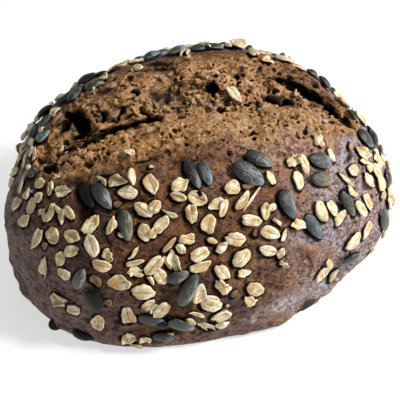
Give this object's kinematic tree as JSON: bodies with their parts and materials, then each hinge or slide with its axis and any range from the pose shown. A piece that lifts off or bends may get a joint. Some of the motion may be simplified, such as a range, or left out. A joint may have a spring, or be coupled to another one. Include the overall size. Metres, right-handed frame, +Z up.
{
  "type": "seeded spelt bread loaf",
  "caption": "Whole oval rustic loaf of dark bread, split open lengthwise on top, with a flat base; its crust carries rolled oats and pumpkin seeds.",
  "frame": {"origin": "middle of the loaf's flat base, which is the bottom centre of its bounding box", "axes": "+X along the loaf towards its slimmer end, +Z up, -Y towards the seeded front that the picture shows"},
  "size_m": [0.1848, 0.1588, 0.1049],
  "materials": {
    "crust": "baked dark crust, satin, with matt golden-brown torn crumb along the split",
    "oat_flake": "dry rolled oat flake, matt to satin",
    "pumpkin_seed": "toasted hulled pumpkin seed, satin"
  },
  "bodies": {
    "root": {"loaf": "crust"}
  },
  "joints": []
}
